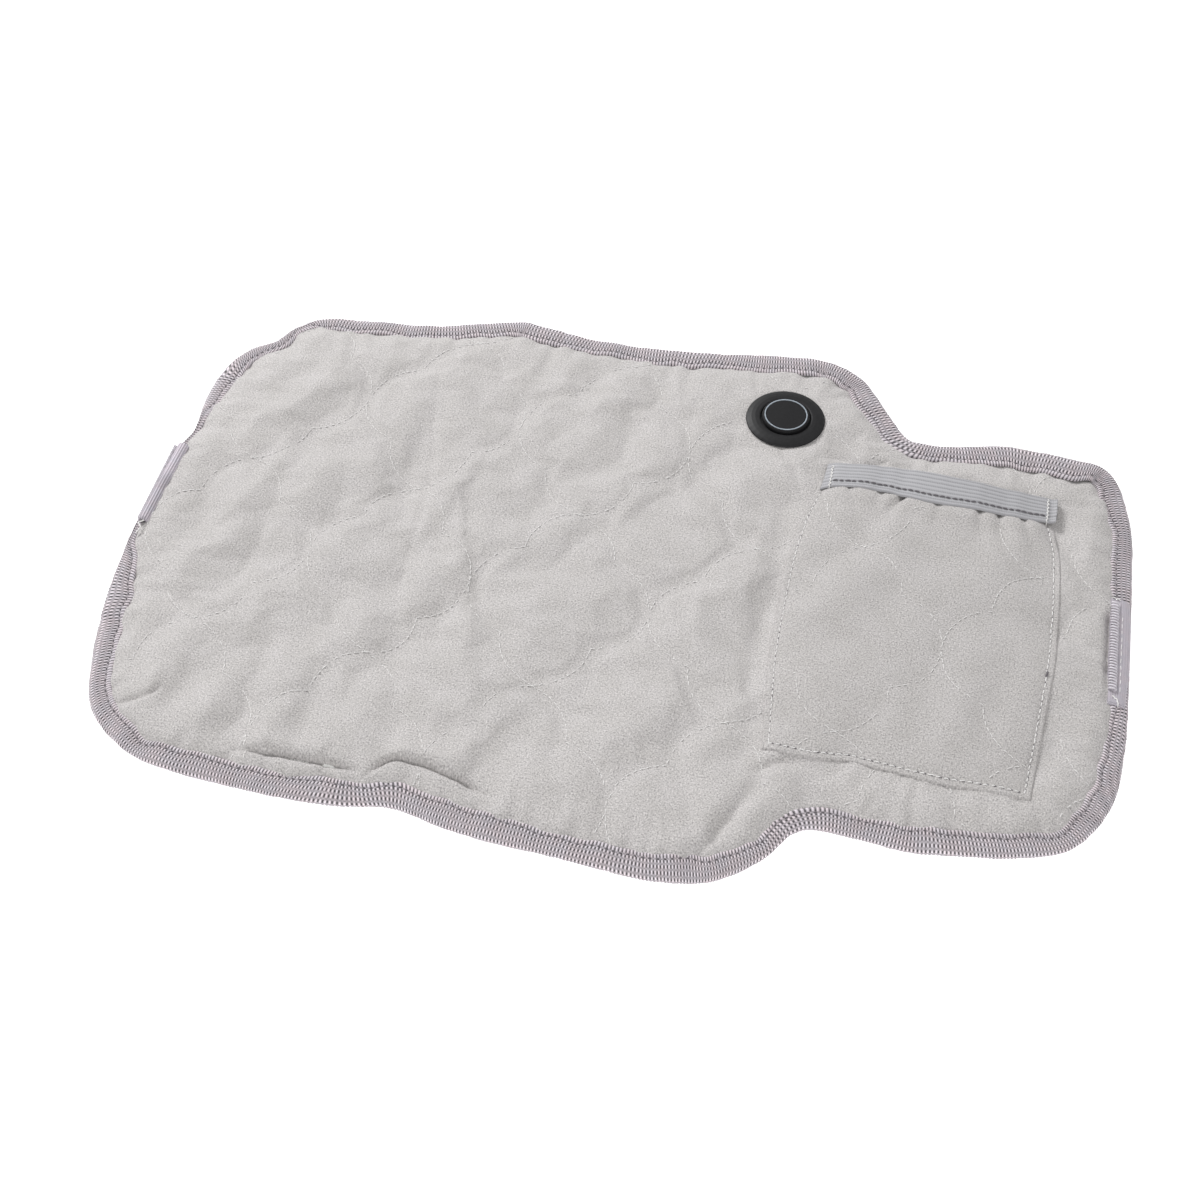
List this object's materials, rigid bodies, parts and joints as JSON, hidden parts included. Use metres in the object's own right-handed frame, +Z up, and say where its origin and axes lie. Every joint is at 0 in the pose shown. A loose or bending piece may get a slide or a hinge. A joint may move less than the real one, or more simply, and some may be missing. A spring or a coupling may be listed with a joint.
{
  "type": "quilted heating pad",
  "caption": "Soft quilted heating pad with a round power button, an elastic-topped power-bank pocket and a zip stringer at each end; it folds across its width.",
  "frame": {"origin": "middle of the outline, on the underside", "axes": "+X along the length towards the pocket, +Y across the width towards the pocket's mouth, +Z up out of the quilted face"},
  "size_m": [0.5001, 0.3406, 0.0171],
  "materials": {
    "cover_fabric": "brushed suede-like polyester, matt",
    "pocket_fabric": "brushed suede-like polyester, matt",
    "binding_tape": "ribbed grosgrain tape",
    "elastic_band": "woven ribbed elastic",
    "wadding": "needled polyester wadding",
    "heater_carrier": "non-woven sheet",
    "heating_wire": "silicone insulated",
    "lead_jacket": "matt",
    "controller_shell": "fine spark texture",
    "button_rubber": "matt silicone",
    "light_guide": "translucent",
    "circuit_board": "solder mask",
    "steel": "zinc plated",
    "zip_tape": "woven herringbone tape",
    "zip_coil": "extruded nylon coil"
  },
  "bodies": {
    "pad_right": {"top_cover_right": "cover_fabric", "wadding_right": "wadding", "heater_carrier_right": "heater_carrier", "heating_wire_right": "heating_wire", "return_wire": "heating_wire", "thermal_cutout": "steel", "return_lead": "lead_jacket", "back_lining_right": "cover_fabric", "edge_binding_right": "binding_tape", "controller_base": "controller_shell", "controller_bezel": "controller_shell", "control_board": "circuit_board", "tact_switch": "button_rubber", "led_left": "light_guide", "led_right": "light_guide", "board_screw_1": "steel", "board_screw_2": "steel", "board_screw_3": "steel", "supply_gland": "button_rubber", "return_gland": "button_rubber", "heater_gland": "button_rubber", "supply_lead": "lead_jacket", "pocket_grommet": "button_rubber", "zip_tape_right": "zip_tape", "zip_coil_right": "zip_coil"},
    "pad_left": {"top_cover_left": "cover_fabric", "wadding_left": "wadding", "heater_carrier_left": "heater_carrier", "heating_wire_left": "heating_wire", "back_lining_left": "cover_fabric", "edge_binding_left": "binding_tape", "zip_tape_left": "zip_tape", "zip_coil_left": "zip_coil"},
    "button": {"button_cap": "button_rubber", "light_ring": "light_guide", "switch_plunger": "controller_shell"},
    "pocket_front": {"pocket_panel": "pocket_fabric", "pocket_elastic": "elastic_band"}
  },
  "joints": [
    {"name": "pad_fold", "type": "hinge", "parent": "pad_right", "child": "pad_left", "pos_m": [-0.105, 0, 0], "axis": [0, -1, 0], "range_deg": [0, 165]},
    {"name": "button_press", "type": "slide", "parent": "pad_right", "child": "button", "axis": [0, 0, -1], "range_m": [0, 0.0007], "stiffness_N_per_m": 600, "springref_m": -0.001},
    {"name": "pocket_open", "type": "hinge", "parent": "pad_right", "child": "pocket_front", "pos_m": [0.1475, -0.095, 0.0111], "axis": [1, 0, 0], "range_deg": [0, 8], "stiffness_Nm_per_rad": 0.05, "springref_deg": -5.73}
  ]
}
